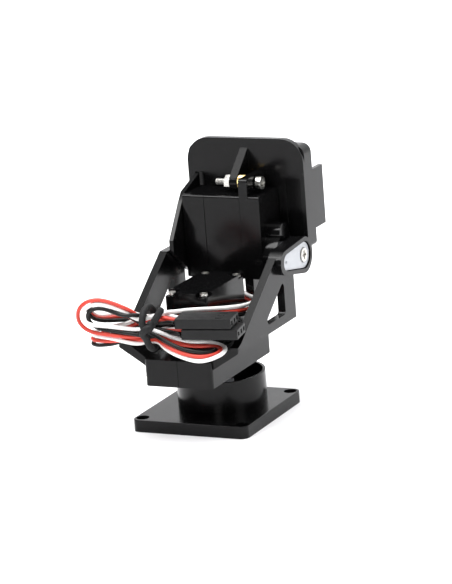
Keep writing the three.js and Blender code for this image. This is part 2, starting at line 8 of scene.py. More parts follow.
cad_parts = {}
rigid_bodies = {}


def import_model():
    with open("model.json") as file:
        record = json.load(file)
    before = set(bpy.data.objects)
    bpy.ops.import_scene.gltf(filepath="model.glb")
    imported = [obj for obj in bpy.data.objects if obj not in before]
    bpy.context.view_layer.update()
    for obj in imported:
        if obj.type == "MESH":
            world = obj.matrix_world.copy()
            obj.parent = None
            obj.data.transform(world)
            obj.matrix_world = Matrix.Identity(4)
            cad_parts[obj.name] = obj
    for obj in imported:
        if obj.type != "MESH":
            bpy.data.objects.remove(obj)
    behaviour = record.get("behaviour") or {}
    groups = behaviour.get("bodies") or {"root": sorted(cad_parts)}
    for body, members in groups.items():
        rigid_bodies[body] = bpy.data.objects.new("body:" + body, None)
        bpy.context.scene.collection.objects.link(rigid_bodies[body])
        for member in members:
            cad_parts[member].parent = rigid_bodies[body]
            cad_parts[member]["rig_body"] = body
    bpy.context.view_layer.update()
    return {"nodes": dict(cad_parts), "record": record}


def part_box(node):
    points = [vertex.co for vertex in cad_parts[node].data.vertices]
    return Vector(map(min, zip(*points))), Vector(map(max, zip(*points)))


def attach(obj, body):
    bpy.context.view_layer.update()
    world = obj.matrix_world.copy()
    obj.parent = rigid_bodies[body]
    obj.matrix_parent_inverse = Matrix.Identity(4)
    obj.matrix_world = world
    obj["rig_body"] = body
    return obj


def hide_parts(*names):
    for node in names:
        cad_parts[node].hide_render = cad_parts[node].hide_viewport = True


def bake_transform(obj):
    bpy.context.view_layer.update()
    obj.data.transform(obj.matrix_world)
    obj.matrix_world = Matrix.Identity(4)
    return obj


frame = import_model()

NODES = frame["nodes"]
SLOTS = {part["node"]: part["material_slot"] for part in frame["record"]["subparts"]}
MM = 0.001

# ---- Sizes, in millimetres unless a name says otherwise ------------------------------------
PAN_Y = 3.65                       # the pan axis, towards +Y from the base's centre
HANK = Vector((-6.0, -25.3 + PAN_Y, 30.2))     # the hank's own frame: u right, v up, w away
HANK_TURN = 0.18                   # radians about Z
WIRE = 1.06                        # diameter of one insulated wire
PITCH = 1.09                       # spacing of the three wires of a ribbon
PLUG_PITCH = 2.54
PLUG = {"length": 15.0, "half": 3.9, "height": 2.6, "lip": 0.1}     # lip: room before its wire end
PAN_PLUG = (7.6, 1.0, -1.1)        # u, v, w of its bottom edge where the wires enter
TILT_PLUG = (9.2, -1.9, -1.1)

# How far the edges are rounded.
EDGE = 0.4
SERVO_EDGE = 0.45
COVER_EDGE = 0.3
FINE_EDGE = 0.15
SCREW_EDGE = 0.07

BASE = {"top": 3.3, "rim": 2.3, "round": 0.75}
COVER_STEP = {"deep": 1.02, "reach": 3.1, "longer": 1.08}      # longer: as a share of the reach

# ---- Camera --------------------------------------------------------------------------------
AZIMUTH, ELEVATION, ROLL = 26.718, 14.541, -4.4                # degrees
DISTANCE = 819.683
TARGET = Vector((5.216, 0.0, 34.515))
LENS = 247.81


def make_camera():
    """A long lens from the near right and above, turned a little about its own axis."""
    azimuth, elevation, roll = (math.radians(x) for x in (AZIMUTH, ELEVATION, ROLL))
    ahead = Vector((
        -math.sin(azimuth) * math.cos(elevation),
        math.cos(azimuth) * math.cos(elevation),
        -math.sin(elevation),
    ))
    side = Vector((math.cos(azimuth), math.sin(azimuth), 0))
    up = side.cross(ahead)
    right = side * math.cos(roll) + up * math.sin(roll)
    top = up * math.cos(roll) - side * math.sin(roll)
    data = bpy.data.cameras.new("camera")
    data.lens = LENS
    data.sensor_width = 36
    data.sensor_fit = "HORIZONTAL"
    data.clip_start, data.clip_end = 0.01, 10
    camera = bpy.data.objects.new("camera", data)
    bpy.context.scene.collection.objects.link(camera)
    turn = Matrix((right, top, -ahead)).transposed().to_4x4()
    camera.matrix_world = Matrix.Translation((TARGET - ahead * DISTANCE) * MM) @ turn
    bpy.context.scene.camera = camera


# ---- Materials -----------------------------------------------------------------------------
MOTTLE_RANGE = (0.32, 0.68)         # where the broad noise turns from the dark to the light shade
GLOSS_RANGE = (0.3, 0.7)
GLOSS_SCALE = 3.1                   # the uneven gloss is this much finer than the broad noise
BUMP_DEPTH = 0.00003                # metres


def shade(rgb, factor):
    return tuple(min(1.0, c * factor) for c in rgb) + (1,)


def surface(name, rgb, rough, spread=0.14, grain=0.12, grain_scale=5200, mottle_scale=160,
            metallic=0.0, wear=0.05, specular=0.5):
    """A finish with broad colour variation, fine grain and uneven gloss."""
    material = bpy.data.materials.new(name)
    material.use_nodes = True
    tree = material.node_tree
    shader = tree.nodes["Principled BSDF"]
    shader.inputs["Metallic"].default_value = metallic
    shader.inputs["Specular IOR Level"].default_value = specular
    place = tree.nodes.new("ShaderNodeTexCoord")

    def noise(scale, detail, rough_detail=0.5):
        node = tree.nodes.new("ShaderNodeTexNoise")
        node.inputs["Scale"].default_value = scale
        node.inputs["Detail"].default_value = detail
        node.inputs["Roughness"].default_value = rough_detail
        tree.links.new(place.outputs["Object"], node.inputs["Vector"])
        return node.outputs["Fac"]

    ramp = tree.nodes.new("ShaderNodeValToRGB")
    shades = (shade(rgb, 1 - spread), shade(rgb, 1 + spread))
    for stop_point, position, colour in zip(ramp.color_ramp.elements, MOTTLE_RANGE, shades):
        stop_point.position = position
        stop_point.color = colour
    tree.links.new(noise(mottle_scale, 5, 0.62), ramp.inputs["Fac"])
    tree.links.new(ramp.outputs["Color"], shader.inputs["Base Color"])

    gloss = tree.nodes.new("ShaderNodeMapRange")
    gloss.inputs["From Min"].default_value = GLOSS_RANGE[0]
    gloss.inputs["From Max"].default_value = GLOSS_RANGE[1]
    gloss.inputs["To Min"].default_value = max(0.03, rough - wear)
    gloss.inputs["To Max"].default_value = rough + 1.6 * wear
    tree.links.new(noise(mottle_scale * GLOSS_SCALE, 6, 0.7), gloss.inputs["Value"])
    tree.links.new(gloss.outputs["Result"], shader.inputs["Roughness"])

    bump = tree.nodes.new("ShaderNodeBump")
    bump.inputs["Strength"].default_value = grain
    bump.inputs["Distance"].default_value = BUMP_DEPTH
    tree.links.new(noise(grain_scale, 3), bump.inputs["Height"])
    tree.links.new(bump.outputs["Normal"], shader.inputs["Normal"])
    return material


BLACK_PLASTIC = {"spread": 0.1, "wear": 0.018, "specular": 0.17}
WHITE_NYLON = {"grain": 0.1}
METAL = {"metallic": 1.0}
JACKET = {"grain": 0.15, "mottle_scale": 240}
FOAM = {"grain": 0.6, "grain_scale": 2600, "mottle_scale": 800}

# Each finish: its colour, how rough it is, and what sets it apart.
FINISHES = {
    "bracket_plastic": ((0.0030, 0.0030, 0.0032), 0.20, {**BLACK_PLASTIC, "grain": 0.035}),
    "servo_case": ((0.0026, 0.0026, 0.0028), 0.15, {**BLACK_PLASTIC, "grain": 0.025}),
    "servo_inside": ((0.025, 0.025, 0.026), 0.5, {"grain": 0.2}),
    "white_horn": ((0.48, 0.50, 0.53), 0.36, {**WHITE_NYLON, "spread": 0.035}),
    "white_gear": ((0.72, 0.73, 0.74), 0.42, {**WHITE_NYLON, "spread": 0.04}),
    "nickel_screws": ((0.56, 0.55, 0.52), 0.24, {**METAL, "spread": 0.08, "mottle_scale": 900, "wear": 0.08}),
    "brass_spacer": (
        (0.80, 0.60, 0.26), 0.24,
        {**METAL, "spread": 0.1, "grain": 0.1, "mottle_scale": 700, "wear": 0.08},
    ),
    "brass_pinion": ((0.72, 0.52, 0.22), 0.3, {**METAL, "spread": 0.1}),
    "steel_parts": ((0.52, 0.52, 0.53), 0.3, {**METAL, "spread": 0.1}),
    "circuit_board": ((0.02, 0.10, 0.05), 0.4, {"spread": 0.2, "grain": 0.3}),
    "lead_white": ((0.82, 0.81, 0.80), 0.44, {**JACKET, "spread": 0.045}),
    "lead_red": ((0.56, 0.040, 0.022), 0.42, {**JACKET, "spread": 0.13}),
    "lead_black": ((0.0045, 0.0044, 0.0044), 0.38, {**JACKET, "spread": 0.2, "specular": 0.28}),
    "plug_housing": ((0.0065, 0.0065, 0.0068), 0.46, {"spread": 0.16, "grain": 0.3, "specular": 0.24}),
    "tie_jacket": ((0.008, 0.0085, 0.009), 0.7, {**FOAM, "spread": 0.25, "specular": 0.3}),
}
FLOOR_PAPER = {"spread": 0.012, "grain": 0.05, "grain_scale": 900, "mottle_scale": 3}


def make_finishes():
    return {name: surface(name, rgb, rough, **more) for name, (rgb, rough, more) in FINISHES.items()}


# ---- Moulded parts -------------------------------------------------------------------------
BEVEL_ANGLE = math.radians(32)      # edges sharper than this are rounded
OUTLINE_ANGLE = 0.6                 # radians
FLUSH = 2e-5                        # metres within which a point counts as lying in a face


def link(name, mesh, material):
    mesh.materials.clear()
    mesh.materials.append(material)
    thing = bpy.data.objects.new(name, mesh)
    bpy.context.scene.collection.objects.link(thing)
    return thing


def carved(mesh, blocks):
    """The mesh with these blocks, each (lowest, highest) in metres, cut away."""
    body = bpy.data.objects.new("body", mesh)
    bpy.context.scene.collection.objects.link(body)
    cutter = bpy.data.meshes.new("cutter")
    work = bmesh.new()
    for lowest, highest in blocks:
        box_of(work, lowest[0], highest[0], lowest[1], highest[1], lowest[2], highest[2])
    work.to_mesh(cutter)
    work.free()
    tool = bpy.data.objects.new("cutter", cutter)
    bpy.context.scene.collection.objects.link(tool)
    cut = body.modifiers.new("cut", "BOOLEAN")
    cut.operation = "DIFFERENCE"
    cut.solver = "EXACT"
    cut.use_self = True
    cut.object = tool
    bpy.context.view_layer.update()
    graph = bpy.context.evaluated_depsgraph_get()
    result = bpy.data.meshes.new_from_object(body.evaluated_get(graph))
    bpy.data.objects.remove(body)
    bpy.data.objects.remove(tool)
    return result


def corner_steps(node, axis, outer, inward, across):
    """Blocks for the four lowered corners of a servo's bottom cover, where its screw heads show."""
    lowest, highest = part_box(node)
    sides = [k for k in range(3) if k != axis]
    blocks = []
    for a in (0, 1):
        for b in (0, 1):
            near, far = [0, 0, 0], [0, 0, 0]
            near[axis], far[axis] = outer
            for side, high_end in zip(sides, (a, b)):
                reach = across if side != inward else across * COVER_STEP["longer"]
                if high_end:
                    near[side], far[side] = highest[side] - reach * MM, highest[side] + MM
                else:
                    near[side], far[side] = lowest[side] - MM, lowest[side] + reach * MM
            blocks.append((near, far))
    return blocks


def chamfer_outline(work, top, reach_x, reach_y, width):
    """The base's broad rounded edge, along its outline only."""
    edges = [
        e for e in work.edges
        if all(abs(v.co.z - top) < FLUSH for v in e.verts)
        and len(e.link_faces) == 2 and e.calc_face_angle(0) > OUTLINE_ANGLE
        and all(abs(v.co.x) > reach_x or abs(v.co.y) > reach_y for v in e.verts)
    ]
    bmesh.ops.bevel(work, geom=edges, offset=width, segments=3, profile=0.5, affect="EDGES",
                    clamp_overlap=True)


def moulded(node, material, edge=EDGE, blocks=(), outline=None):
    """The CAD part with its edges rounded as a mould leaves them."""
    source = NODES[node]
    mesh = source.data.copy()
    work = bmesh.new()
    work.from_mesh(mesh)
    bmesh.ops.remove_doubles(work, verts=work.verts, dist=2e-6)
    if outline:
        chamfer_outline(work, *outline)
    work.to_mesh(mesh)
    work.free()
    if blocks:
        mesh = carved(mesh, blocks)
    for polygon in mesh.polygons:
        polygon.use_smooth = True
    thing = link(node + "_moulded", mesh, material)
    bevel = thing.modifiers.new("edges", "BEVEL")
    bevel.width = edge * MM
    bevel.segments = 2
    bevel.limit_method = "ANGLE"
    bevel.angle_limit = BEVEL_ANGLE
    bevel.use_clamp_overlap = True
    bevel.loop_slide = True
    even_light = thing.modifiers.new("even_light", "WEIGHTED_NORMAL")
    even_light.mode = "FACE_AREA_WITH_ANGLE"
    even_light.weight = 60
    even_light.keep_sharp = True
    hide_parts(node)
    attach(thing, source["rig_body"])
    return thing


PLAIN_FASTENERS = (
    "plate_bolt", "plate_nut", "pan_horn_screw_near", "pan_horn_screw_far", "pan_centre_screw",
    "bracket_screw_near", "bracket_screw_far",
)
# Screws whose heads show a cross: the axis they lie along, and whether the head is at its high end.
CROSS_SCREWS = {
    "tilt_horn_screw": (0, True),
    "tilt_pivot_screw": (0, False),
    **{f"pan_servo_case_screw_{k}": (2, True) for k in (1, 2, 3, 4)},
    **{f"tilt_servo_case_screw_{k}": (0, False) for k in (1, 2, 3, 4)},
}


def cross_recess(node, axis, head_high, deep=0.5, reach=0.64, wide=0.2):
    """Blocks for the two crossed slots of a screw head; reach and wide are shares of its radius."""
    lowest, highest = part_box(node)
    middle = (lowest + highest) / 2
    first, second = [k for k in range(3) if k != axis]
    radius = (highest[first] - lowest[first]) / 2
    blocks = []
    for along_slot, across_slot in ((first, second), (second, first)):
        near, far = [0, 0, 0], [0, 0, 0]
        near[axis] = highest[axis] - deep * MM if head_high else lowest[axis] - MM
        far[axis] = highest[axis] + MM if head_high else lowest[axis] + deep * MM
        near[along_slot] = middle[along_slot] - reach * radius
        far[along_slot] = middle[along_slot] + reach * radius
        near[across_slot] = middle[across_slot] - wide * radius
        far[across_slot] = middle[across_slot] + wide * radius
        blocks.append((near, far))
    return blocks


# Along the spacer: how far, its radius as a share, and whether the knurling is cut there.
SPACER_PROFILE = ((0, 0.9, 0), (0.06, 1, 0), (0.1, 1, 1), (0.9, 1, 1), (0.94, 1, 0), (1, 0.9, 0))


def knurled(node, material, teeth=30, depth=0.09, inside=1.06):
    """A brass spacer along the X axis, with straight knurling and plain tapered ends."""
    lowest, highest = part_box(node)
    middle = (lowest + highest) / 2
    radius = (highest[1] - lowest[1]) / 2
    length = highest[0] - lowest[0]
    angles = [math.pi * k / teeth for k in range(2 * teeth)]
    work = bmesh.new()

    def ring(x, radii):
        return [
            work.verts.new((x, middle[1] + r * math.cos(a), middle[2] + r * math.sin(a)))
            for a, r in zip(angles, radii)
        ]

    rings = []
    for at, scale, cut in SPACER_PROFILE:
        radii = [radius * scale - cut * (k % 2) * depth * MM for k in range(2 * teeth)]
        rings.append(ring(lowest[0] + at * length, radii))
    for x in (highest[0], lowest[0]):
        rings.append(ring(x, [inside * MM] * len(angles)))
    for near, far in zip(rings, rings[1:] + rings[:1]):
        for k in range(2 * teeth):
            j = (k + 1) % (2 * teeth)
            work.faces.new((near[k], far[k], far[j], near[j]))
    bmesh.ops.recalc_face_normals(work, faces=work.faces)
    mesh = bpy.data.meshes.new(node + "_knurled")
    work.to_mesh(mesh)
    work.free()
    thing = link(node + "_knurled", mesh, material)
    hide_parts(node)
    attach(thing, NODES[node]["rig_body"])


def refinish(node, material):
    NODES[node].material_slots[0].material = material


# ---- Frames and routes ---------------------------------------------------------------------
TURN = Matrix.Rotation(HANK_TURN, 3, "Z")


def pan_point(x, y, z):
    return Vector((x, y + PAN_Y, z))


def hank_point(u, v, w):
    return HANK + TURN @ Vector((u, w, v))


def hank_way(u, v, w):
    return TURN @ Vector((u, w, v))


UP = Vector((0, 0, 1))
DOWN = -UP
BACK = hank_way(0, 0, 1)
ACROSS_X = Vector((1, 0, 0))

# Where the white, red and black wires of a ribbon lie, in spacings: the real part along the way
# across the ribbon, the imaginary part square to it.
FLAT = (1, 0, -1)
RED_OUT = (0.05, -0.97, 1.05)
RED_LOW = (1, -1, 0)


def stop(middle, across=UP, spacing=PITCH, places=FLAT):
    """A place that a ribbon of three wires passes, and how it lies there."""
    return middle, across, spacing, places


PAN_ROUTE = [
    stop(pan_point(0, 5.9, 33.2)),
    stop(pan_point(0, 7.6, 33.2)),
    stop(pan_point(0.2, 9.3, 32.7)),
    stop(pan_point(1.4, 10.4, 31.0)),
    stop(pan_point(3.4, 9.7, 29.2)),
    stop(pan_point(6.0, 8.5, 28.8)),
    stop(pan_point(8.6, 6.6, 29.3)),
    stop(pan_point(10.6, 3.8, 29.9)),
    stop(pan_point(12.2, -1.0, 30.5)),
    stop(pan_point(12.5, -7.0, 31.0)),
    stop(pan_point(11.8, -12.5, 32.0)),
    stop(hank_point(17.0, 2.7, 4.7)),
    stop(hank_point(13.0, 2.8, 4.0)),
    stop(hank_point(9.0, 2.7, 3.6)),
    stop(hank_point(5.6, 2.3, 2.4)),
    stop(hank_point(2.4, 2.1, 0.2)),
    stop(hank_point(0.0, 2.3, -1.4), UP - BACK * 0.4),
    stop(hank_point(-2.6, 3.1, -2.2), -BACK, places=(0.7, -0.6, 1.1j)),
    stop(hank_point(-5.6, 4.6, -2.5), DOWN, places=RED_OUT),
    stop(hank_point(-8.8, 6.1, -2.6), DOWN, places=RED_OUT),
    stop(hank_point(-12.4, 7.6, -2.7), DOWN, places=RED_OUT),
    stop(hank_point(-16.2, 7.5, -2.8), hank_way(0.5, -0.85, 0), places=RED_OUT),
    stop(hank_point(-18.8, 5.3, -2.8), hank_way(1, -0.2, 0), places=RED_OUT),
    stop(hank_point(-18.8, 2.3, -2.8), hank_way(0.9, 0.4, 0), places=(0.3, -1, 1.0)),
    stop(hank_point(-16.2, 0.3, -2.8), hank_way(0.4, 0.9, 0), places=(0.7, -1, 0.5)),
    stop(hank_point(-12.4, 0.1, -2.8), places=RED_LOW),
    stop(hank_point(-8.6, -0.3, -2.8), places=RED_LOW),
    stop(hank_point(-5.0, -0.9, -2.7), places=RED_LOW),
    stop(hank_point(-1.5, -1.3, -2.6), places=(1, -0.6, -0.4 + 1j)),
    stop(hank_point(1.5, -1.7, -2.5)),
    stop(hank_point(4.8, -2.9, -2.4)),
    stop(hank_point(8.4, -4.3, -1.8)),
    stop(hank_point(12.0, -4.9, -0.8)),
    stop(hank_point(15.4, -5.0, 0.8), UP + BACK * 0.8),
    stop(hank_point(18.2, -5.0, 0.4), BACK + hank_way(0.6, 0, 0)),
    stop(hank_point(20.0, -5.2, -2.8), hank_way(1, 0, 0)),
    stop(hank_point(18.5, -5.7, -6.1), hank_way(0.6, -0.2, -0.9)),
    stop(hank_point(15.6, -6.2, -7.0), DOWN - BACK * 0.7),
    stop(hank_point(11.6, -6.0, -6.1), DOWN),
    stop(hank_point(7.6, -4.9, -5.3), DOWN),
    stop(hank_point(3.8, -3.6, -4.4), DOWN),
    stop(hank_point(0.4, -2.7, -3.4), DOWN),
    stop(hank_point(-3.0, -2.6, -2.0), DOWN - BACK * 0.6),
    stop(hank_point(-6.6, -3.0, -1.4), -BACK),
    stop(hank_point(-10.2, -3.3, -1.3), UP - BACK * 0.7),
    stop(hank_point(-13.8, -3.3, -1.6), UP, PITCH * 1.1),
    stop(hank_point(-16.8, -3.3, -0.9), UP, PITCH * 1.3),
    stop(hank_point(-18.4, -3.3, 1.9), UP, PITCH * 1.3),
    stop(hank_point(-16.8, -3.0, 4.8), UP, PITCH * 1.1),
    stop(hank_point(-13.0, -2.2, 5.2)),
    stop(hank_point(-8.5, -1.0, 3.8)),
    stop(hank_point(-4.5, 0.4, 2.2), UP + BACK * 0.3),
    stop(hank_point(-1.0, 1.6, 1.2), UP + BACK * 0.8),
    stop(hank_point(2.4, 2.2, 0.2), BACK + UP * 0.5, PITCH * 1.2),
    stop(hank_point(5.4, 2.3, -0.7), BACK, PLUG_PITCH * 0.85),
    stop(hank_point(7.6, 2.3, -1.1), BACK, PLUG_PITCH),
]
TILT_ROUTE = [
    stop(pan_point(-9.2, 17.45, 33.9), ACROSS_X),
    stop(pan_point(-9.2, 17.45, 32.6), ACROSS_X),
    stop(pan_point(-9.2, 17.45, 31.2), ACROSS_X),
    stop(pan_point(-9.2, 16.9, 29.2), ACROSS_X),
    stop(pan_point(-9.3, 15.4, 27.4), ACROSS_X),
    stop(pan_point(-9.6, 13.2, 26.2), Vector((1, 0, 0.2))),
    stop(pan_point(-10.2, 10.2, 25.6), Vector((1, 0, 0.8))),
    stop(pan_point(-10.8, 5.4, 25.6)),
    stop(pan_point(-11.0, 0.0, 25.6)),
    stop(pan_point(-11.0, -6.0, 25.8)),
    stop(pan_point(-11.0, -12.0, 26.4)),
    stop(pan_point(-11.0, -16.6, 28.2)),
    stop(pan_point(-11.6, -19.9, 30.4)),
    stop(hank_point(-8.0, 2.3, 4.2), UP + BACK * 0.4),
    stop(hank_point(-11.4, 2.0, 2.9), UP * 0.7 + BACK),
    stop(hank_point(-14.8, 1.4, 2.0), BACK + UP * 0.2),
    stop(hank_point(-17.8, 2.4, 1.3), BACK),
    stop(hank_point(-18.4, 5.2, 0.9), BACK),
    stop(hank_point(-16.2, 7.3, 0.6), BACK),
    stop(hank_point(-12.4, 6.9, 0.3), BACK + DOWN * 0.2),
    stop(hank_point(-8.2, 4.3, 0.2), BACK + DOWN * 0.4),
    stop(hank_point(-4.0, 1.5, 0.4), BACK + DOWN * 0.6),
    stop(hank_point(0.0, -0.4, 0.6), BACK + DOWN * 0.7),
    stop(hank_point(4.0, -0.9, 0.1), BACK, PITCH * 1.2),
    stop(hank_point(7.0, -0.7, -0.7), BACK, PLUG_PITCH * 0.85),
    stop(hank_point(9.2, -0.6, -1.1), BACK, PLUG_PITCH),
]
STEP = 1.0                          # spacing of the points the wires settle with


def along(stops, fine=24):
    """A smooth line through the stops (centripetal Catmull-Rom), with every value carried along."""
    values = np.array([
        list(p) + list(n.normalized()) + [s]
        + [part for c in places for part in (complex(c).real, complex(c).imag)]
        for p, n, s, places in stops
    ])
    ends = [2 * values[0] - values[1], 2 * values[-1] - values[-2]]
    values = np.vstack([ends[0], values, ends[1]])
    out = []
    for i in range(1, len(values) - 2):
        quad = values[i - 1 : i + 3]
        gaps = [max(np.linalg.norm(quad[k + 1][:3] - quad[k][:3]), 1e-6) ** 0.5 for k in range(3)]
        t0, t1, t2, t3 = np.cumsum([0] + gaps)
        for t in np.linspace(t1, t2, fine, endpoint=False):
            a1 = (t1 - t) / (t1 - t0) * quad[0] + (t - t0) / (t1 - t0) * quad[1]
            a2 = (t2 - t) / (t2 - t1) * quad[1] + (t - t1) / (t2 - t1) * quad[2]
            a3 = (t3 - t) / (t3 - t2) * quad[2] + (t - t2) / (t3 - t2) * quad[3]
            b1 = (t2 - t) / (t2 - t0) * a1 + (t - t0) / (t2 - t0) * a2
            b2 = (t3 - t) / (t3 - t1) * a2 + (t - t1) / (t3 - t1) * a3
            out.append((t2 - t) / (t2 - t1) * b1 + (t - t1) / (t2 - t1) * b2)
    out.append(values[-2])
    return np.array(out)


def even(points, step):
    """The same line with evenly spaced points."""
    gaps = np.linalg.norm(np.diff(points[:, :3], axis=0), axis=1)
    lengths = np.concatenate([[0], np.cumsum(gaps)])
    count = max(2, int(round(lengths[-1] / step)) + 1)
    at = np.linspace(0, lengths[-1], count)
    return np.column_stack([np.interp(at, lengths, points[:, k]) for k in range(points.shape[1])])


def three_wires(stops):
    """White, red and black wires side by side along the ribbon."""
    line = even(along(stops), STEP)
    middle = line[:, :3]
    tangent = np.gradient(middle, axis=0)
    tangent /= np.linalg.norm(tangent, axis=1)[:, None]
    across = line[:, 3:6]
    across = across - tangent * np.sum(across * tangent, axis=1)[:, None]
    across /= np.maximum(np.linalg.norm(across, axis=1), 1e-6)[:, None]
    square = np.cross(tangent, across)
    spacing = line[:, 6:7]
    wires = []
    for k in (7, 9, 11):            # where the three wires' places start in a row
        aside = across * line[:, k : k + 1] + square * line[:, k + 1 : k + 2]
        wires.append(even(middle + spacing * aside, STEP))
    return wires


# ---- What the wires lie against ------------------------------------------------------------
TIE_HALF_W, TIE_HALF_V = 3.2, 3.7   # the room for the wires' middles in the tie
TIE_LENGTH = 2.4                    # along u; the room opens over the same length on either side
TIE_FLARE = 10                      # a larger value opens the room more slowly beside the tie
TIE_REACH = 2.6                     # wires farther out than this, in half widths, are not in the tie
ROOM = WIRE / 2 + 0.05              # how far a wire's middle is kept from a surface
ARM_FOOT = ((15.1, -23.5 + PAN_Y, 20.0), (19.0, 13.1 + PAN_Y, 30.0))     # the right arm's lower part
BLOCK = {"near": -24.8, "far": 11.75, "top": 21.3, "low": 17}        # near, far: from the pan axis
SLOPE = {"start": 9.4, "width": 5.7, "rise": 3.7}        # from the block's top up to each arm


def to_hank(points):
    turned = (points - np.array(HANK)) @ np.array(TURN)
    return turned[:, [0, 2, 1]]


def from_hank(points):
    return points[:, [0, 2, 1]] @ np.array(TURN).T + np.array(HANK)


def push_out(points, lowest, highest):
    """Points inside a box leave it by its nearest side."""
    inside = np.all((points > lowest) & (points < highest), axis=1)
    if inside.any():
        chosen = points[inside]
        gaps = np.concatenate([chosen - lowest, highest - chosen], axis=1)
        side = gaps.argmin(axis=1)
        rows = np.arange(len(chosen))
        axis = side % 3
        chosen[rows, axis] = np.where(side < 3, lowest[axis], highest[axis])
        points[inside] = chosen
    return points


def node_box(name):
    lowest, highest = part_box(name)
    return np.array(lowest) / MM, np.array(highest) / MM


def above_block(points):
    """Points inside the block or its slopes come up to the surface, or out at the near side."""
    near = BLOCK["near"] + PAN_Y - ROOM
    far = BLOCK["far"] + PAN_Y + ROOM
    reach = np.clip((np.abs(points[:, 0]) - SLOPE["start"]) / SLOPE["width"], 0, 1)
    ground = BLOCK["top"] + SLOPE["rise"] * reach + ROOM
    sunk = (points[:, 1] > near) & (points[:, 1] < far)
    sunk &= (points[:, 2] < ground) & (points[:, 2] > BLOCK["low"])
    forward = sunk & (points[:, 1] - near < ground - points[:, 2])
    points[forward, 1] = near
    points[sunk & ~forward, 2] = ground[sunk & ~forward]
    return points


def obstacles(points):
    """Points leave the lower servo, the arm, the plugs and the block, and stay inside the tie."""
    for name in ("pan_servo_bottom_cover", "pan_servo_middle_case"):
        lowest, highest = node_box(name)
        points = push_out(points, lowest - ROOM, highest + ROOM)
    points = push_out(points, np.array(ARM_FOOT[0]) - ROOM, np.array(ARM_FOOT[1]) + ROOM)
    local = to_hank(points)
    for u, v, w in (PAN_PLUG, TILT_PLUG):
        lowest = np.array([u - PLUG["lip"], v, w - PLUG["half"]])
        highest = np.array([u + PLUG["length"], v + PLUG["height"], w + PLUG["half"]])
        local = push_out(local, lowest - [0, ROOM, ROOM], highest + ROOM)
    beyond = np.maximum(np.abs(local[:, 0]) - TIE_LENGTH / 2, 0)
    allowed = 1 + beyond**2 / TIE_FLARE
    radius = np.sqrt((local[:, 2] / TIE_HALF_W) ** 2 + (local[:, 1] / TIE_HALF_V) ** 2)
    over = (beyond < TIE_LENGTH) & (radius > allowed) & (radius < TIE_REACH)
    local[over, 1:] *= (allowed[over] / radius[over])[:, None]
    return above_block(from_hank(local))


ROUNDS, QUICK_ROUNDS = 260, 90
SMOOTHING = 0.36                    # share of the way to the middle of a point's neighbours
RETURN = 0.03                       # share of the way back to the planned route
LAST_PART = 0.3                     # share of the rounds over which both of these fade out
SPARE = 0.1                         # the gap that touching wires are pushed apart to
OVERSHOOT = 1.2
PASSES = 4                          # times the wires are pushed apart in each round
WATCHED = 3.2                       # points nearer than this are listed as pairs to keep apart
LISTED_EVERY = 8                    # rounds between new lists of those pairs
SAME_WIRE = 5                       # points this few steps apart on one wire make no pair
HELD_START, HELD_END = 3, 2         # points at a wire's ends that stay where planned


def settle(wires, rounds):
    """The wires even out while they are pushed off each other and out of what is round them."""
    sizes = [len(w) for w in wires]
    starts = np.concatenate([[0], np.cumsum(sizes)])
    owner = np.concatenate([np.full(n, i) for i, n in enumerate(sizes)])
    index = np.concatenate([np.arange(n) for n in sizes])
    points = np.vstack(wires)
    plan = points.copy()
    held = np.zeros(len(points), bool)
    for a, b in zip(starts[:-1], starts[1:]):
        held[a : a + HELD_START] = True
        held[b - HELD_END : b] = True
    inner = np.ones(len(points), bool)
    inner[starts[:-1]] = False
    inner[starts[1:] - 1] = False
    inner = np.flatnonzero(inner)
    apart = (owner[:, None] != owner[None, :]) | (np.abs(index[:, None] - index[None, :]) > SAME_WIRE)
    apart = np.triu(apart, 1)
    for turn in range(rounds):
        ease = min(1, (rounds - turn - 1) / (LAST_PART * rounds))
        mean = (points[inner - 1] + points[inner + 1]) / 2
        points[inner] += SMOOTHING * ease * (mean - points[inner])
        points += RETURN * ease * (plan - points)
        if turn % LISTED_EVERY == 0:
            square = np.sum(points**2, axis=1)
            distance2 = square[:, None] + square[None, :] - 2 * points @ points.T
            first, second = np.nonzero(apart & (distance2 < WATCHED**2))
        for _ in range(PASSES):
            offset = points[first] - points[second]
            distance = np.maximum(np.linalg.norm(offset, axis=1), 1e-6)
            close = distance < WIRE + SPARE
            push = (offset[close].T * ((WIRE + SPARE - distance[close]) / distance[close] / 2)).T
            move = np.zeros_like(points)
            count = np.zeros(len(points))
            np.add.at(move, first[close], push)
            np.add.at(move, second[close], -push)
            np.add.at(count, first[close], 1)
            np.add.at(count, second[close], 1)
            points += move / np.maximum(count, 1)[:, None] * OVERSHOOT
        points = obstacles(points)
        points[held] = plan[held]
    return [points[a:b] for a, b in zip(starts[:-1], starts[1:])]


# ---- Leads ---------------------------------------------------------------------------------
KNOT_SPACING = 1.5
TIE_RADIUS = 0.94
TIE_UNEVEN = 0.06
TIE_STEP = 0.45
TIE_ENDS = (0.55, 0.9)              # how the tie's cut ends narrow


def curve_tube(name, points, diameter, material):
    """A smooth round cord through the points."""
    data = bpy.data.curves.new(name, "CURVE")
    data.dimensions = "3D"
    data.bevel_depth = diameter / 2
    data.bevel_resolution = 5
    data.resolution_u = 5
    data.use_fill_caps = True
    spline = data.splines.new("BEZIER")
    spline.bezier_points.add(len(points) - 1)
    for knot, p in zip(spline.bezier_points, points):
        knot.co = p
        knot.handle_left_type = knot.handle_right_type = "AUTO"
    data.materials.append(material)
    thing = bpy.data.objects.new(name, data)
    bpy.context.scene.collection.objects.link(thing)
    return thing


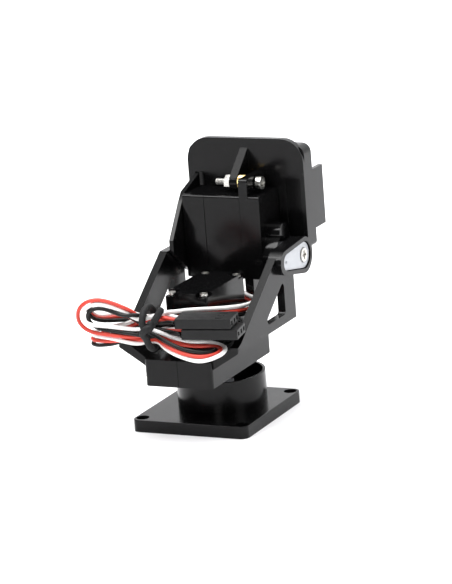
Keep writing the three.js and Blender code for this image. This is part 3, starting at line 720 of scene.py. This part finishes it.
def mesh_tube(name, points, radius, material, sides=14):
    """A closed tube that follows the points without twisting; one radius, or one for each point."""
    path = [Vector(p) for p in points]
    radii = np.broadcast_to(radius, len(path))
    work = bmesh.new()
    rings = []
    last = len(path) - 1
    tangents = [(path[min(i + 1, last)] - path[max(i - 1, 0)]).normalized() for i in range(last + 1)]
    normal = tangents[0].orthogonal().normalized()
    for p, tangent, r in zip(path, tangents, radii):
        normal = (normal - tangent * normal.dot(tangent)).normalized()
        other = tangent.cross(normal)
        rings.append([
            work.verts.new(p + normal * (r * math.cos(a)) + other * (r * math.sin(a)))
            for a in (2 * math.pi * k / sides for k in range(sides))
        ])
    for near, far in zip(rings, rings[1:]):
        for k in range(sides):
            face = work.faces.new((near[k], near[(k + 1) % sides], far[(k + 1) % sides], far[k]))
            face.smooth = True
    work.faces.new(list(reversed(rings[0])))
    work.faces.new(rings[-1])
    mesh = bpy.data.meshes.new(name)
    work.to_mesh(mesh)
    work.free()
    return link(name, mesh, material)


def make_leads(finish):
    """Both leads, each of three wires: the pan lead rides on the pan body, the tilt lead stays fixed in place
    on no body.
    """
    rounds = ROUNDS
    wires = settle(three_wires(PAN_ROUTE) + three_wires(TILT_ROUTE), rounds)
    wires = [even(w, STEP) * MM for w in wires]
    colours = ("white", "red", "black")
    for colour, line in zip(colours, wires[:3]):
        knots = even(line, KNOT_SPACING * MM)
        wire = curve_tube("pan_lead_" + colour, knots, WIRE * MM, finish["lead_" + colour])
        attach(wire, "pan")
        if colour == "white":
            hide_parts("pan_lead", "lead_hank")
    for colour, line in zip(colours, wires[3:]):
        wire = mesh_tube("tilt_lead_" + colour, line, WIRE / 2 * MM, finish["lead_" + colour])
        if colour == "white":
            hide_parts("tilt_lead", "tilt_lead_exit")
        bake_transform(wire)


def make_tie(finish):
    """A foam-jacketed wire tie: once round the bundle, crossed over in front, one end left long."""
    stops = [
        (4.3, 6.3, -3.6), (3.2, 4.6, -4.6), (1.8, 2.4, -5.2), (0.2, 0.6, -5.4), (-0.9, 1.6, -5.0),
        (-1.3, 4.0, -3.6), (-1.2, 5.1, -1.2), (-1.0, 5.1, 1.6), (-0.6, 3.2, 4.2), (-0.2, 0.0, 4.7),
        (0.1, -3.2, 4.2), (0.2, -5.1, 1.8), (0.3, -5.1, -1.6), (0.2, -3.6, -4.3), (-0.3, -1.4, -5.3),
        (-0.7, 0.2, -6.4), (0.5, 1.5, -7.0), (1.5, 2.0, -6.2), (1.2, 3.4, -5.6),
    ]
    line = along([stop(hank_point(*place)) for place in stops], fine=10)[:, :3]
    line = even(line, TIE_STEP) * MM
    rng = np.random.default_rng(7)
    wobble = np.convolve(rng.normal(0, 1, len(line)), np.ones(5) / 5, "same")
    radii = (TIE_RADIUS + TIE_UNEVEN * wobble) * MM
    radii[:2] *= TIE_ENDS
    radii[-2:] *= TIE_ENDS[::-1]
    tie = mesh_tube("lead_tie_jacket", line, radii, finish["tie_jacket"], sides=16)
    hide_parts("lead_tie")
    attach(tie, "pan")
    return tie


BOX_FACES = ((3, 2, 1, 0), (4, 5, 6, 7), (0, 1, 5, 4), (1, 2, 6, 5), (2, 3, 7, 6), (3, 0, 4, 7))


def box_of(work, x0, x1, y0, y1, z0, z1):
    outline = ((x0, y0), (x1, y0), (x1, y1), (x0, y1))
    corners = [work.verts.new((x, y, z)) for z in (z0, z1) for x, y in outline]
    for face in BOX_FACES:
        work.faces.new([corners[i] for i in face])


# ---- Stage, in metres ----------------------------------------------------------------------
PAPER = {"half": 2.8, "near": -2.4, "bend": 0.9, "radius": 0.7, "top": 3.0, "below": 0.00002}


def make_stage():
    """A sheet of pale paper that lies flat and sweeps up behind the object."""
    bend, radius = PAPER["bend"], PAPER["radius"]
    sweep = np.radians(np.arange(6, 91, 6))
    profile = [(PAPER["near"], 0.0), (bend, 0.0)]
    profile += [(bend + radius * math.sin(a), radius - radius * math.cos(a)) for a in sweep]
    profile += [(bend + radius, PAPER["top"])]
    ground = bpy.data.meshes.new("floor")
    work = bmesh.new()
    left, right = [
        [work.verts.new((x, y, z - PAPER["below"])) for y, z in profile]
        for x in (-PAPER["half"], PAPER["half"])
    ]
    for k in range(len(profile) - 1):
        face = work.faces.new((left[k], right[k], right[k + 1], left[k + 1]))
        face.smooth = True
    work.to_mesh(ground)
    work.free()
    paper = surface("floor_paper", (0.93, 0.93, 0.94), 0.75, **FLOOR_PAPER)
    link("floor", ground, paper)


def area_light(name, place, aim, size, power):
    data = bpy.data.lights.new(name, "AREA")
    data.energy = power
    data.size = size
    lamp = bpy.data.objects.new(name, data)
    bpy.context.scene.collection.objects.link(lamp)
    lamp.location = place
    lamp.rotation_mode = "QUATERNION"
    lamp.rotation_quaternion = (Vector(aim) - Vector(place)).to_track_quat("-Z", "Y")


def make_light():
    """Soft studio light, with the paper behind lit on its own."""
    middle = (0, 0, 0.035)
    area_light("key", (-0.45, -0.50, 0.95), middle, 0.55, 12)
    area_light("side", (1.0, -0.35, 0.45), middle, 0.45, 2.2)
    area_light("front", (0.25, -1.2, 0.30), middle, 0.35, 1.8)
    area_light("top", (0.1, 0.35, 1.5), middle, 1.6, 24)
    area_light("backdrop", (0.0, 0.3, 1.9), (0, 1.5, 0.6), 1.4, 30)
    world = bpy.data.worlds.new("studio")
    world.use_nodes = True
    background = world.node_tree.nodes["Background"]
    background.inputs["Color"].default_value = (1, 1, 1, 1)
    background.inputs["Strength"].default_value = 0.17
    bpy.context.scene.world = world
    bpy.context.scene.view_settings.view_transform = "Standard"


# ---- Build ---------------------------------------------------------------------------------
make_camera()
FINISH = make_finishes()

base_half = [reach - BASE["rim"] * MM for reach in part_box("base_plate")[1][:2]]
moulded("base_plate", FINISH["bracket_plastic"],
        outline=(BASE["top"] * MM, *base_half, BASE["round"] * MM))
for part in ("bracket_left", "bracket_right", "camera_plate"):
    moulded(part, FINISH["bracket_plastic"])
for part in ("middle_case", "gear_cover"):
    for servo in ("pan", "tilt"):
        moulded(f"{servo}_servo_{part}", FINISH["servo_case"], SERVO_EDGE)
cover_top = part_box("pan_servo_bottom_cover")[1][2]
step_range = (cover_top - COVER_STEP["deep"] * MM, cover_top + MM)
cover_steps = corner_steps("pan_servo_bottom_cover", 2, step_range, 1, COVER_STEP["reach"])
moulded("pan_servo_bottom_cover", FINISH["servo_case"], COVER_EDGE, cover_steps)
moulded("tilt_servo_bottom_cover", FINISH["servo_case"], SERVO_EDGE)
for part in ("pan_horn", "tilt_horn"):
    moulded(part, FINISH["white_horn"], FINE_EDGE)
pan_plug = moulded("pan_plug", FINISH["plug_housing"], FINE_EDGE)
tilt_plug = moulded("tilt_plug", FINISH["plug_housing"], FINE_EDGE)

knurled("plate_spacer", FINISH["brass_spacer"])
for name in PLAIN_FASTENERS:
    moulded(name, FINISH[SLOTS[name]], SCREW_EDGE)
for name, (axis, head_high) in CROSS_SCREWS.items():
    recess = cross_recess(name, axis, head_high)
    moulded(name, FINISH[SLOTS[name]], SCREW_EDGE, recess)
for name, thing in NODES.items():
    if not thing.hide_render and SLOTS[name] in FINISH:
        refinish(name, FINISH[SLOTS[name]])

tie = make_tie(FINISH)
make_leads(FINISH)
make_stage()
make_light()
